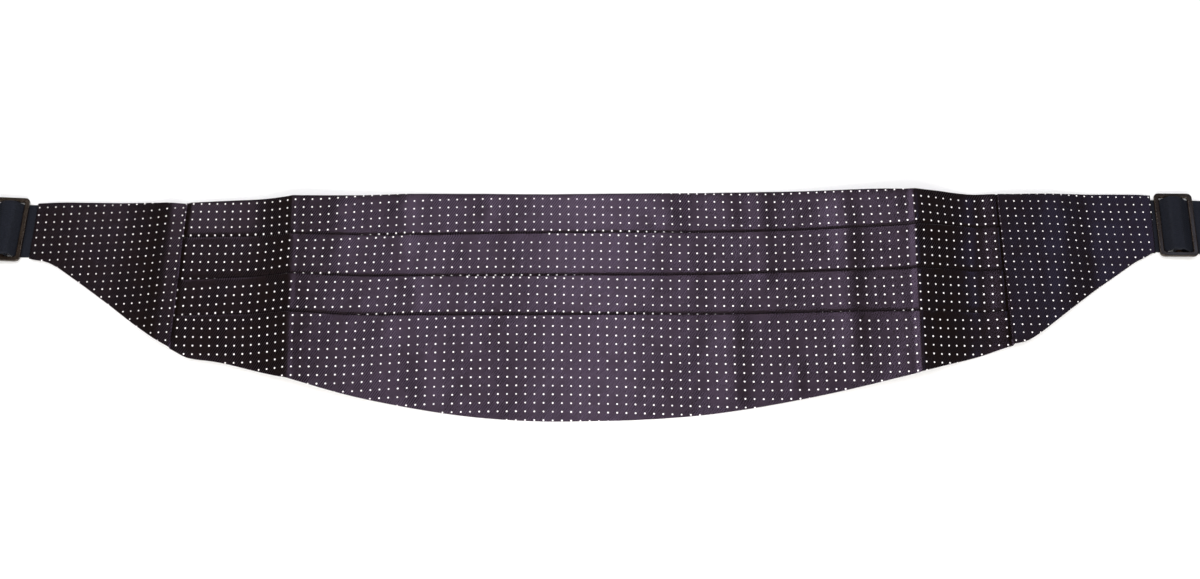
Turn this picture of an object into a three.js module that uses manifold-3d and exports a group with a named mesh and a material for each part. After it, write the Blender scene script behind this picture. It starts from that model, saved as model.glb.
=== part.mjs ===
// A pleated cummerbund laid open on a flat surface, front face up. Millimetres, +Z up.
// X runs along the sash, Y up its height as worn, Z away from the surface.
// Origin: middle of the front's back face, on the surface.
import * as THREE from 'three';
import Module from 'manifold-3d';
import { mergeVertices } from 'three/addons/utils/BufferGeometryUtils.js';

const wasm = await Module();
wasm.setup();

// Cloth
const clothWall = 1;
const layerGap = 0.3;
const frontLength = 447.5;
const frontHeight = 133;
const ridgeHeight = 10.4;
const topHem = 10;
const pleatDepth = 8;
const layerDrop = 4;
const seamLap = 8;
const endPanelLength = 83;
const endMargin = 1.3;
const cornerCut = 1.2;

// Straps
const strapWidth = 32;
const strapWall = 1;
const strapTail = 14;
const strapReach = 100;
const strapBend = 1.3;

// Slides. slideClearance is the room beside the strap in their windows.
const slideLength = 20.6;
const slideThickness = 1.8;
const slideBar = 2.3;
const slideClearance = 0.9;
const slideHeight = strapWidth + 2 * (slideClearance + slideBar);
const centreBar = 2.4;
const slideCorner = 1.7;
const windowCorner = 0.9;
const slideBevel = 0.4;

// Clasp. claspClearance is the room beside the strap in its slot.
const claspThickness = 1.8;
const claspBar = 2.4;
const claspRim = 2.5;
const claspClearance = 0.7;
const claspHeight = strapWidth + 2 * (claspClearance + claspRim);
const strapSlot = 3.6;
const eyeWidth = 18;
const eyeOpening = 6.2;
const tongueWidth = 12;
const tongueReach = 7;
const tongueLip = 5;
const hookGap = 2.2;

// The parts that differ from one end of the sash to the other. strapHeight is the middle of
// the strap above the origin line, setback the bare strap before the slide, turn its angle.
const ends = {
  left: { side: -1, strapHeight: 43.6, setback: 4.6, turn: -0.6, lean: 0 },
  right: { side: 1, strapHeight: 46.9, setback: 2.8, turn: -2.6, lean: 0.075 },
};

// Outline of the front. along: share of frontLength from its middle. The other columns are
// shares of frontHeight above the origin line: top edge, the three pleat folds, lower edge.
const frontOutline = [
  { along: -0.54, top: 0.449, fold1: 0.286, fold2: 0.089, fold3: -0.065, hem: -0.166 },
  { along: -0.454, top: 0.459, fold1: 0.288, fold2: 0.1, fold3: -0.06, hem: -0.25 },
  { along: -0.3615, top: 0.461, fold1: 0.284, fold2: 0.105, fold3: -0.062, hem: -0.333 },
  { along: -0.282, top: 0.475, fold1: 0.289, fold2: 0.104, fold3: -0.067, hem: -0.402 },
  { along: -0.2285, top: 0.49, fold1: 0.298, fold2: 0.112, fold3: -0.06, hem: -0.437 },
  { along: -0.1215, top: 0.5, fold1: 0.313, fold2: 0.122, fold3: -0.051, hem: -0.484 },
  { along: -0.06, top: 0.499, fold1: 0.316, fold2: 0.123, fold3: -0.051, hem: -0.494 },
  { along: 0, top: 0.501, fold1: 0.318, fold2: 0.125, fold3: -0.05, hem: -0.495 },
  { along: 0.06, top: 0.503, fold1: 0.319, fold2: 0.125, fold3: -0.049, hem: -0.489 },
  { along: 0.129, top: 0.504, fold1: 0.318, fold2: 0.126, fold3: -0.05, hem: -0.471 },
  { along: 0.2495, top: 0.501, fold1: 0.319, fold2: 0.13, fold3: -0.05, hem: -0.411 },
  { along: 0.35, top: 0.492, fold1: 0.318, fold2: 0.125, fold3: -0.057, hem: -0.343 },
  { along: 0.39, top: 0.488, fold1: 0.318, fold2: 0.124, fold3: -0.063, hem: -0.312 },
  { along: 0.428, top: 0.497, fold1: 0.333, fold2: 0.137, fold3: -0.048, hem: -0.263 },
  { along: 0.466, top: 0.496, fold1: 0.337, fold2: 0.141, fold3: -0.042, hem: -0.219 },
  { along: 0.54, top: 0.484, fold1: 0.323, fold2: 0.137, fold3: -0.041, hem: -0.141 },
];

// How the front stands off the surface, with a ridge at each crease where it was folded up.
// rise: share of ridgeHeight. lean: how far a line across the height leans, X for each Y.
const frontRise = [
  { along: -0.54, rise: 0.21, lean: 0 },
  { along: -0.454, rise: 0.27, lean: -0.01 },
  { along: -0.412, rise: 0.365, lean: -0.025 },
  { along: -0.394, rise: 0.47, lean: -0.035 },
  { along: -0.376, rise: 0.645, lean: -0.04 },
  { along: -0.3615, rise: 0.865, lean: -0.042 },
  { along: -0.349, rise: 0.83, lean: -0.04 },
  { along: -0.322, rise: 0.67, lean: -0.03 },
  { along: -0.282, rise: 0.48, lean: -0.02 },
  { along: -0.2285, rise: 0.25, lean: -0.01 },
  { along: -0.175, rise: 0.085, lean: 0 },
  { along: -0.1215, rise: 0, lean: 0 },
  { along: 0.129, rise: 0, lean: 0 },
  { along: 0.1915, rise: 0.08, lean: 0 },
  { along: 0.2495, rise: 0.23, lean: 0.01 },
  { along: 0.3055, rise: 0.46, lean: 0.02 },
  { along: 0.35, rise: 0.71, lean: 0.03 },
  { along: 0.379, rise: 0.905, lean: 0.036 },
  { along: 0.39, rise: 1, lean: 0.036 },
  { along: 0.4035, rise: 0.83, lean: 0.045 },
  { along: 0.428, rise: 0.405, lean: 0.055 },
  { along: 0.4505, rise: 0.155, lean: 0.06 },
  { along: 0.466, rise: 0.085, lean: 0.05 },
  { along: 0.54, rise: 0.08, lean: -0.02 },
];

// End panels, from the seam out to the strap. out: share of endPanelLength. hem: share of the
// way from the lower edge at the seam to the lower edge at the strap. settle: share of the
// height at the seam that is left above the height at the strap. corner: share of cornerCut.
const endSections = [
  { out: 0, leftHem: 0, rightHem: 0, leftSettle: 1, rightSettle: 1, corner: 0 },
  { out: 0.1, leftHem: 0.06, rightHem: 0.045, leftSettle: 1, rightSettle: 1, corner: 0 },
  { out: 0.2, leftHem: 0.19, rightHem: 0.15, leftSettle: 0.5, rightSettle: 1, corner: 0 },
  { out: 0.3, leftHem: 0.315, rightHem: 0.265, leftSettle: 0.22, rightSettle: 1, corner: 0 },
  { out: 0.41, leftHem: 0.455, rightHem: 0.39, leftSettle: 0.06, rightSettle: 0.8, corner: 0 },
  { out: 0.5, leftHem: 0.56, rightHem: 0.495, leftSettle: 0.04, rightSettle: 0.5, corner: 0 },
  { out: 0.61, leftHem: 0.686, rightHem: 0.625, leftSettle: 0.04, rightSettle: 0.14, corner: 0 },
  { out: 0.71, leftHem: 0.797, rightHem: 0.735, leftSettle: 0.04, rightSettle: 0.03, corner: 0 },
  { out: 0.8, leftHem: 0.895, rightHem: 0.83, leftSettle: 0.04, rightSettle: 0, corner: 0 },
  { out: 0.88, leftHem: 0.96, rightHem: 0.915, leftSettle: 0.02, rightSettle: 0, corner: 0 },
  { out: 0.975, leftHem: 0.99, rightHem: 0.985, leftSettle: 0, rightSettle: 0, corner: 0 },
  { out: 1, leftHem: 1, rightHem: 1, leftSettle: 0, rightSettle: 0, corner: 1 },
];

const cloth = { color: 0x453b47, roughness: 0.45, metalness: 0 };
const webbing = { color: 0x24242c, roughness: 0.85, metalness: 0 };
const gloss = { color: 0x1c1512, roughness: 0.25, metalness: 0 };

const layerStep = clothWall + layerGap;
const frontStack = 3 * clothWall + 2 * layerGap;
const turnSteps = 4;
const runShare = 0.49;
const weldReach = 1e-4;

const mix = (from, to, share) => from + (to - from) * share;

function table(rows, Interpolant) {
  const columns = Object.keys(rows[0]).filter((name) => name !== 'along');
  const values = rows.flatMap((row) => columns.map((name) => row[name]));
  const curve = new Interpolant(rows.map((row) => row.along), values, columns.length);
  return (along) => {
    const found = curve.evaluate(along);
    return Object.fromEntries(columns.map((name, index) => [name, found[index]]));
  };
}

const outlineAt = table(frontOutline, THREE.CubicInterpolant);
const riseAt = table(frontRise, THREE.LinearInterpolant);

// One section of the front or its height at any share of its length, in millimetres.
function frontAt(along) {
  const { top, fold1, fold2, fold3, hem } = outlineAt(along);
  const { rise, lean } = riseAt(along);
  return {
    x: along * frontLength,
    lean,
    base: rise * ridgeHeight,
    top: top * frontHeight,
    folds: [fold1, fold2, fold3].map((share) => share * frontHeight),
    hem: hem * frontHeight,
  };
}

// Half circle from one layer to the next. tip is the outermost Y of the folded cloth and
// facing the way that it points, +1 up the height or -1 down.
function foldOver(tip, facing, fromLevel, toLevel) {
  const radius = layerStep / 2;
  const middle = (levelHeight(fromLevel) + levelHeight(toLevel)) / 2;
  const centre = tip - facing * (radius + clothWall / 2);
  const start = Math.sign(fromLevel - toLevel) * Math.PI / 2;
  return Array.from({ length: turnSteps + 1 }, (_, step) => {
    const angle = start * (1 - 2 * step / turnSteps);
    return new THREE.Vector2(centre + facing * radius * Math.cos(angle), middle + radius * Math.sin(angle));
  });
}

function levelHeight(level) {
  return clothWall / 2 + level * layerStep;
}

// Middle line of the pleated cloth across its height: the hem at the top edge, then each pleat
// tucked back under the fold of the next band, then the last band down to the lower edge.
function pleatPath({ top, folds, hem }) {
  const hemEdge = top - topHem;
  const path = [
    new THREE.Vector2(hemEdge, levelHeight(0)),
    ...foldOver(top, 1, 0, 1),
    new THREE.Vector2(hemEdge - layerGap, levelHeight(1)),
    new THREE.Vector2(hemEdge - layerGap - layerDrop / 2, levelHeight(0)),
  ];
  for (const fold of folds) {
    const tuck = fold - pleatDepth;
    path.push(...foldOver(tuck, -1, 0, 1));
    path.push(...foldOver(fold, 1, 1, 2));
    path.push(new THREE.Vector2(tuck - layerGap, levelHeight(2)));
    path.push(new THREE.Vector2(tuck - layerGap - layerDrop, levelHeight(0)));
  }
  path.push(new THREE.Vector2(hem, levelHeight(0)));
  return path;
}

// The two faces of a wall that follows a middle line, as two rows of points.
function bothFaces(path, wall) {
  const offset = (side) => path.map((point, index) => {
    const before = path[Math.max(index - 1, 0)];
    const after = path[Math.min(index + 1, path.length - 1)];
    const inward = point.clone().sub(before).normalize();
    const outward = after.clone().sub(point).normalize();
    const along = inward.add(outward).normalize();
    return new THREE.Vector2(-along.y, along.x).multiplyScalar(side * wall / 2).add(point);
  });
  return [offset(1), offset(-1)];
}

// Closed body through sections. Each section is two rows of points, one for each face.
function loft(sections) {
  const half = sections[0][0].length;
  const ring = 2 * half;
  const positions = [];
  const faces = [];
  for (const [upper, lower] of sections) {
    for (const point of [...upper, ...lower.slice().reverse()]) {
      positions.push(point.x, point.y, point.z);
    }
  }
  for (let section = 0; section < sections.length - 1; section += 1) {
    for (let index = 0; index < ring; index += 1) {
      const here = section * ring + index;
      const next = section * ring + (index + 1) % ring;
      faces.push(here, next + ring, next, here, here + ring, next + ring);
    }
  }
  const last = (sections.length - 1) * ring;
  for (let index = 0; index < half - 1; index += 1) {
    const across = ring - 1 - index;
    faces.push(index, index + 1, across, index + 1, across - 1, across);
    faces.push(last + index, last + across, last + index + 1);
    faces.push(last + index + 1, last + across, last + across - 1);
  }
  const geometry = new THREE.BufferGeometry();
  geometry.setAttribute('position', new THREE.Float32BufferAttribute(positions, 3));
  geometry.setIndex(faces);
  return geometry;
}

function namedMesh(name, geometry, finish) {
  const mesh = new THREE.Mesh(geometry, new THREE.MeshStandardMaterial(finish));
  mesh.geometry.computeVertexNormals();
  mesh.name = name;
  return mesh;
}

// The front: one cloth folded into three pleats, lofted along the sash.
function pleatedFront() {
  const reach = 0.5 + seamLap / frontLength;
  const rows = [...frontOutline, ...frontRise].map((row) => row.along);
  const inner = rows.filter((along) => Math.abs(along) < reach);
  const stations = [...new Set([-reach, ...inner, reach])].sort((a, b) => a - b);
  const sections = stations.map((along) => {
    const section = frontAt(along);
    const place = ({ x: y, y: z }) => {
      return new THREE.Vector3(section.x + section.lean * y, y, section.base + z);
    };
    return bothFaces(pleatPath(section), clothWall).map((face) => face.map(place));
  });
  return namedMesh('pleated_front', loft(sections), cloth);
}

// An end panel: one wall that laps over the pleats at the seam and narrows to the strap.
function endPanel(name) {
  const { side, strapHeight, lean } = ends[name];
  const seam = frontAt(side / 2);
  const strapTop = strapHeight + strapWidth / 2 + endMargin;
  const strapHem = strapHeight - strapWidth / 2 - endMargin;
  const seamBase = seam.base + frontStack + layerGap;
  const strapBase = strapWall + layerGap;
  const panel = endSections.map((row) => ({
    x: seam.x + side * row.out * endPanelLength,
    lean: mix(seam.lean, lean, row.out),
    top: mix(seam.top, strapTop, row.out) - row.corner * cornerCut,
    hem: mix(seam.hem, strapHem, row[`${name}Hem`]) + row.corner * cornerCut,
    base: mix(strapBase, seamBase, row[`${name}Settle`]),
  }));
  const sections = panel.sort((a, b) => a.x - b.x).map((section) => {
    const middle = (section.top + section.hem) / 2;
    const ys = [section.top, middle, section.hem];
    const face = (z) => ys.map((y) => {
      const shift = section.lean * (y - strapHeight);
      return new THREE.Vector3(section.x + shift, y, section.base + z);
    });
    return [face(0), face(clothWall)];
  });
  return namedMesh(`end_panel_${name}`, loft(sections), cloth);
}

// A line of straight runs, each corner rounded by its own bend radius, which takes at most
// runShare of a run.
function roundCorners(corners) {
  const points = corners.map(({ x, z }) => new THREE.Vector2(x, z));
  const path = [points[0]];
  for (let index = 1; index < points.length - 1; index += 1) {
    const corner = points[index];
    const back = points[index - 1].clone().sub(corner);
    const ahead = points[index + 1].clone().sub(corner);
    const half = Math.acos(back.dot(ahead) / back.length() / ahead.length()) / 2;
    const room = Math.min(back.length(), ahead.length()) * runShare;
    const cut = Math.min(corners[index].bend / Math.tan(half), room);
    const from = corner.clone().add(back.setLength(cut));
    const to = corner.clone().add(ahead.setLength(cut));
    const curve = new THREE.QuadraticBezierCurve(from, corner, to);
    path.push(...curve.getPoints(turnSteps));
  }
  path.push(points[points.length - 1]);
  return path;
}

// Heights in a strap end, with Z up: the strap lies in two layers, and the slide rests on
// one of them at its inner bar and on both at its outer bar.
const strapStep = strapWall + layerGap;
const slideTilt = Math.atan2(strapStep, slideLength - slideBar);
const slideFloor = (along) => strapStep + Math.tan(slideTilt) * along;

// The strap in its own X and Z, outward from the panel's end: under the inner bar, over the
// centre bar, under the outer bar, round the clasp's bar, back below and round the centre bar.
function strapCorners(setback) {
  const low = strapWall / 2;
  const high = low + strapStep;
  const clear = layerGap + strapWall / 2;
  const bend = strapBend;
  const overBend = strapBend + strapStep;
  const barStart = setback + (slideLength - centreBar) / 2;
  const barEnd = barStart + centreBar;
  const loopSide = barStart - clear;
  const loopTop = slideFloor(barEnd - setback) + slideThickness + clear;
  const overSide = loopSide - strapStep;
  const overTop = loopTop + strapStep;
  const slotEnd = setback + slideLength - slideBar - clear;
  const claspEnd = strapReach + claspBar + clear;
  const claspTop = low + 2 * clear + claspThickness;
  return [
    { x: -strapTail, z: low },
    { x: overSide - strapStep, z: low, bend },
    { x: overSide, z: overTop, bend: overBend },
    { x: barEnd + clear, z: overTop, bend: overBend },
    { x: slotEnd, z: high, bend },
    { x: strapReach - 2 * claspThickness, z: high, bend },
    { x: strapReach, z: claspTop, bend },
    { x: claspEnd, z: claspTop, bend },
    { x: claspEnd, z: low, bend },
    { x: loopSide, z: low, bend },
    { x: loopSide, z: loopTop, bend },
    { x: barEnd, z: loopTop },
  ];
}

// Extrudes an outline in X and Z across the width of the sash.
function acrossHeight(outline, width) {
  const geometry = new THREE.ExtrudeGeometry(outline, { depth: width, bevelEnabled: false });
  geometry.rotateX(Math.PI / 2);
  geometry.translate(0, width / 2, 0);
  return geometry;
}

function strap(name) {
  const path = roundCorners(strapCorners(ends[name].setback));
  const [upper, lower] = bothFaces(path, strapWall);
  const outline = new THREE.Shape([...upper, ...lower.reverse()]);
  return namedMesh(`strap_${name}`, acrossHeight(outline, strapWidth), webbing);
}

function roundedRectangle(Outline, x, y, length, height, corner) {
  const right = x + length;
  const upper = y + height;
  const outline = new Outline();
  outline.moveTo(x + corner, y);
  outline.lineTo(right - corner, y);
  outline.absarc(right - corner, y + corner, corner, -Math.PI / 2, 0);
  outline.lineTo(right, upper - corner);
  outline.absarc(right - corner, upper - corner, corner, 0, Math.PI / 2);
  outline.lineTo(x + corner, upper);
  outline.absarc(x + corner, upper - corner, corner, Math.PI / 2, Math.PI);
  outline.lineTo(x, y + corner);
  outline.absarc(x + corner, y + corner, corner, Math.PI, Math.PI * 1.5);
  return outline;
}

// A flat plate with its lower face at Z 0 and softened edges.
function plate(outline, thickness, bevel) {
  const geometry = new THREE.ExtrudeGeometry(outline, {
    depth: thickness - 2 * bevel,
    bevelThickness: bevel,
    bevelSize: bevel,
    bevelOffset: -bevel,
    bevelSegments: 2,
    curveSegments: 3,
  });
  geometry.translate(0, 0, bevel);
  return geometry;
}

// The slide: a flat frame with a centre bar, tilted as the strap's layers hold it.
function slide(name) {
  const windowHeight = slideHeight - 2 * slideBar;
  const slot = (slideLength - 2 * slideBar - centreBar) / 2;
  const outline = roundedRectangle(
    THREE.Shape, 0, -slideHeight / 2, slideLength, slideHeight, slideCorner,
  );
  for (const start of [slideBar, slideBar + slot + centreBar]) {
    outline.holes.push(
      roundedRectangle(THREE.Path, start, -windowHeight / 2, slot, windowHeight, windowCorner),
    );
  }
  const mesh = namedMesh(`slide_${name}`, plate(outline, slideThickness, slideBevel), gloss);
  mesh.position.set(ends[name].setback, 0, slideFloor(0));
  mesh.rotation.y = -slideTilt;
  return mesh;
}

// Both clasp halves start as a plate with a slot for the strap behind their bar.
function claspOutline(length) {
  const outline = roundedRectangle(
    THREE.Shape, 0, -claspHeight / 2, length, claspHeight, slideCorner,
  );
  const slotHeight = claspHeight - 2 * claspRim;
  outline.holes.push(
    roundedRectangle(THREE.Path, claspBar, -slotHeight / 2, strapSlot, slotHeight, windowCorner),
  );
  return outline;
}

const claspSeat = strapStep;
const slotEdge = claspBar + strapSlot;

function claspEye() {
  const opening = slotEdge + claspRim;
  const outline = claspOutline(opening + eyeOpening + claspRim);
  outline.holes.push(
    roundedRectangle(THREE.Path, opening, -eyeWidth / 2, eyeOpening, eyeWidth, windowCorner),
  );
  const mesh = namedMesh('clasp_eye', plate(outline, claspThickness, slideBevel), gloss);
  mesh.position.set(strapReach, 0, claspSeat);
  return mesh;
}

function toSolid(geometry) {
  const bare = geometry.clone();
  bare.deleteAttribute('normal');
  bare.deleteAttribute('uv');
  const merged = mergeVertices(bare, weldReach);
  const count = merged.attributes.position.count;
  const index = merged.index ?? { array: Array.from({ length: count }, (_, vertex) => vertex) };
  return new wasm.Manifold(new wasm.Mesh({
    numProp: 3,
    vertProperties: new Float32Array(merged.attributes.position.array),
    triVerts: new Uint32Array(index.array),
  }));
}

function fromSolid(solid) {
  const { vertProperties, triVerts } = solid.getMesh();
  const geometry = new THREE.BufferGeometry();
  geometry.setAttribute('position', new THREE.BufferAttribute(vertProperties, 3));
  geometry.setIndex(new THREE.BufferAttribute(triVerts, 1));
  return geometry;
}

// The hook: a plate with a tongue that runs out and doubles back over itself.
function claspHook() {
  const length = slotEdge + claspRim;
  const body = plate(claspOutline(length), claspThickness, slideBevel);
  const tip = length + tongueReach;
  const radius = (claspThickness + hookGap) / 2;
  const middle = claspThickness / 2;
  const arc = new THREE.EllipseCurve(
    tip - radius, middle + radius, radius, radius, -Math.PI / 2, Math.PI / 2,
  );
  const path = [
    new THREE.Vector2(length - claspRim / 2, middle),
    ...arc.getPoints(2 * turnSteps),
    new THREE.Vector2(tip - radius - tongueLip, middle + 2 * radius),
  ];
  const [upper, lower] = bothFaces(path, claspThickness - 2 * slideBevel);
  const tongue = acrossHeight(new THREE.Shape([...upper, ...lower.reverse()]), tongueWidth);
  const joined = toSolid(body).add(toSolid(tongue));
  const mesh = namedMesh('clasp_hook', fromSolid(joined), gloss);
  mesh.position.set(strapReach, 0, claspSeat);
  return mesh;
}

// One end of the sash beyond its cloth: strap, slide and clasp half, turned as they lie.
function strapEnd(name, claspHalf) {
  const { side, strapHeight, turn } = ends[name];
  const group = new THREE.Group();
  group.add(strap(name), slide(name), claspHalf);
  group.position.set(side * (frontLength / 2 + endPanelLength), strapHeight, 0);
  group.rotation.z = THREE.MathUtils.degToRad(turn) + (side < 0 ? Math.PI : 0);
  return group;
}

const cummerbund = new THREE.Group();
cummerbund.add(
  pleatedFront(),
  endPanel('left'),
  endPanel('right'),
  strapEnd('left', claspHook()),
  strapEnd('right', claspEye()),
);

export default cummerbund;
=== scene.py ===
"""A pleated pin-dot cummerbund laid open, front face up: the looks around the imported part.

Lengths here are in millimetres, with X along the sash, Y up its height as worn and Z off the
surface it lies on. They become metres where a mesh is made.
"""

import math

import bpy
import numpy as np
from mathutils import Euler, Matrix, Vector


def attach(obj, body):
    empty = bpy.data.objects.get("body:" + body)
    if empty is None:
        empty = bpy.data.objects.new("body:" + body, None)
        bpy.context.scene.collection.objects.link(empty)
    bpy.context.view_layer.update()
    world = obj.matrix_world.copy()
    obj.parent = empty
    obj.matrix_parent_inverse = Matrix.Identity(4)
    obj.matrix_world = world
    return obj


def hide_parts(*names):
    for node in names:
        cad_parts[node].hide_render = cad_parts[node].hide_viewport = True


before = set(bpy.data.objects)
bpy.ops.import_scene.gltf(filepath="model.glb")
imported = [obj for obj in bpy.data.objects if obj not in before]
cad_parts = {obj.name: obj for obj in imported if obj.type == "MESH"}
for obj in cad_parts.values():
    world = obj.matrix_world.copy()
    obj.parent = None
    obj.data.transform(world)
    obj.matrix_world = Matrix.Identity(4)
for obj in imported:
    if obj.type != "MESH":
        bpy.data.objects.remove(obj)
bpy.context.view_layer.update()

MM = 0.001

# Sizes of the part, as its source has them
FRONT_LENGTH = 447.5
FRONT_HEIGHT = 133
RIDGE_HEIGHT = 10.4
TOP_HEM = 10
PLEAT_DEPTH = 8
SEAM_LAP = 8
END_PANEL_LENGTH = 83
END_MARGIN = 1.3
STRAP_WIDTH = 32
STRAP_WALL = 1
STRAP_GAP = 0.3
STRAP_TAIL = 14
STRAP_REACH = 100
STRAP_BEND = 1.3
SLIDE_LENGTH = 20.6
SLIDE_HEIGHT = 38.4
SLIDE_THICKNESS = 1.8
SLIDE_BAR = 2.3
CENTRE_BAR = 2.4
CLASP_BAR = 2.4
CLASP_THICKNESS = 1.8
ENDS = {
    "left": {"side": -1, "strap_height": 43.6, "setback": 4.6, "turn": -0.6, "lean": 0,
             "overhang": 0},
    "right": {"side": 1, "strap_height": 46.9, "setback": 3.8, "turn": -2.6, "lean": 0.06,
              "overhang": 1.9},
}

# The cloth itself is thinner than the walls that stand for it
CLOTH_WALL = 0.5
CLOTH_GAP = 0.06
LAYER_STEP = CLOTH_WALL + CLOTH_GAP
STACK = 3 * CLOTH_WALL + 2 * CLOTH_GAP
DOT_PITCH = 4.8
DOT_RADIUS = 0.45
PANEL_DOT_RADIUS = 0.41

# Camera: where the photograph was taken from
VIEW_TARGET = Vector((4.4, 8.7, 0))
VIEW_ELEVATION = math.radians(66)
VIEW_DISTANCE = 811.7
VIEW_LENS = 45

# Outline of the front, as shares of its height, at shares of its length from the middle
FRONT_OUTLINE = {
    "along": (-0.54, -0.454, -0.3615, -0.282, -0.2285, -0.1215, -0.06, 0,
              0.06, 0.129, 0.2495, 0.35, 0.39, 0.428, 0.466, 0.54),
    "top": (0.442, 0.456, 0.461, 0.475, 0.49, 0.5, 0.499, 0.501,
            0.503, 0.504, 0.501, 0.492, 0.482, 0.49, 0.492, 0.479),
    "fold1": (0.286, 0.288, 0.284, 0.289, 0.298, 0.313, 0.316, 0.318,
              0.319, 0.318, 0.319, 0.318, 0.318, 0.333, 0.337, 0.323),
    "fold2": (0.089, 0.1, 0.105, 0.104, 0.112, 0.122, 0.123, 0.125,
              0.125, 0.126, 0.13, 0.125, 0.124, 0.137, 0.141, 0.137),
    "fold3": (-0.065, -0.06, -0.062, -0.067, -0.06, -0.051, -0.051, -0.05,
              -0.049, -0.05, -0.05, -0.057, -0.063, -0.048, -0.042, -0.041),
}
FRONT_HEM = {
    "along": (-0.54, -0.5, -0.488, -0.481, -0.4643, -0.454, -0.3615, -0.282, -0.2285, -0.1215,
              -0.06, 0, 0.06, 0.129, 0.2495, 0.35, 0.39, 0.428, 0.466, 0.5, 0.54),
    "hem": (-0.13, -0.202, -0.226, -0.2385, -0.252, -0.2565, -0.342, -0.41, -0.443, -0.49,
            -0.502, -0.501, -0.495, -0.477, -0.416, -0.349, -0.319, -0.273, -0.229, -0.19, -0.15),
}

# How the front stands off the surface: share of RIDGE_HEIGHT, and the lean of a line across it
LEFT_CREASE = -0.3615
RIGHT_CREASE = 0.39
FRONT_RISE = {
    "along": (-0.54, -0.454, -0.412, -0.394, -0.376, -0.3615, -0.349, -0.322,
              -0.282, -0.2285, -0.175, -0.1215, 0.129, 0.1915, 0.2495, 0.3055,
              0.35, 0.379, 0.39, 0.4035, 0.428, 0.4505, 0.466, 0.485, 0.5, 0.54),
    "rise": (0.21, 0.27, 0.365, 0.47, 0.645, 0.865, 0.805, 0.67,
             0.48, 0.25, 0.085, 0, 0, 0.1, 0.255, 0.47,
             0.7, 0.885, 1, 0.83, 0.39, 0.12, 0.02, 0.2, 0.31, 0.33),
    "lean": (0, -0.01, -0.025, -0.035, -0.04, -0.042, -0.04, -0.03,
             -0.02, -0.01, 0, 0, 0, 0, 0.01, 0.02,
             0.03, 0.036, 0.036, 0.045, 0.055, 0.06, 0.05, 0.03, 0.015, -0.02),
}

# End panels from the seam out: share of the way up to the strap's lower edge, how far the top
# stands above a straight line, and share of the height at the seam that is left
PANEL_SECTIONS = {
    "out": (0, 0.1, 0.2, 0.3, 0.41, 0.5, 0.61, 0.71, 0.8, 0.88, 0.975, 1),
    "left_hem": (0, 0.09, 0.203, 0.32, 0.455, 0.56, 0.686, 0.797, 0.895, 0.96, 0.99, 1),
    "right_hem": (0, 0.036, 0.126, 0.24, 0.37, 0.476, 0.605, 0.713, 0.81, 0.897, 0.975, 1),
    "left_top": (-1.5, -0.9, -0.2, 0, 0, 0, 0, 0, 0, -0.2, -0.7, -0.8),
    "right_top": (-0.8, -0.7, -0.5, -0.3, 0, 0.4, 0.9, 1.2, 1.3, 1.3, 1.1, 0.9),
    "left_settle": (1, 1, 0.5, 0.22, 0.06, 0.04, 0.04, 0.04, 0.04, 0.02, 0, 0),
    "right_settle": (1, 1, 1, 1, 0.8, 0.5, 0.14, 0.03, 0, 0, 0, 0),
}

# How far the rows of dots in each band stand below where they are at the middle, and how far
# its columns lean
DOT_ROWS = {
    "x": (-224, -190, -160, -145, -130, -110, -90, -60, 0, 60, 90, 130, 170, 182, 200, 224),
    "band1": (9, 9.3, 9.2, 8, 5.8, 3.5, 1.6, 0, 0, 1.6, 2.7, 2.7, 3.8, 3.3, 2.2, 1.8),
    "band2": (7.6, 8.2, 7.3, 6.5, 5, 3.1, 1.2, 0, 0, 1.6, 2.2, 2, 2.3, 1.4, 0, 0),
    "band3": (7.4, 6.2, 5.3, 5, 4.1, 2.1, 0.2, -0.8, 0, 1.4, 1.8, 1.8, 2.5, 1.6, 0, 0),
    "band4": (6.5, 7.4, 6.6, 6, 5, 3, 1.2, -0.3, 0, 1.7, 2.8, 3.1, 4.4, 3.7, 1.8, 1.5),
}
COLUMN_LEANS = {
    "x": (-224, -175, -140, 0, 100, 160, 185, 210),
    "band1": (0.02, 0.06, 0.02, 0.013, 0.013, 0.06, 0.02, 0),
    "band2": (0, -0.02, -0.03, -0.005, -0.01, -0.02, -0.05, -0.01),
    "band3": (-0.03, -0.015, -0.025, -0.005, -0.01, -0.01, -0.045, -0.045),
    "band4": (0.03, 0.075, 0.015, 0.01, 0, -0.02, -0.037, -0.02),
}
# Where each band's pattern starts, in dot pitches: columns at X 0, rows at the height given,
# and how much closer than usual its columns stand
BAND_PHASES = (
    {"band": "band1", "height": 54, "column": -0.27, "row": 0.115, "stretch": 1.0075},
    {"band": "band2", "height": 29.4, "column": -0.04, "row": -0.35, "stretch": 1.006},
    {"band": "band3", "height": 5.3, "column": 0.14, "row": 0.15, "stretch": 1.001},
    {"band": "band4", "height": -29.2, "column": 0.28, "row": -0.21, "stretch": 0.997},
)

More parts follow.
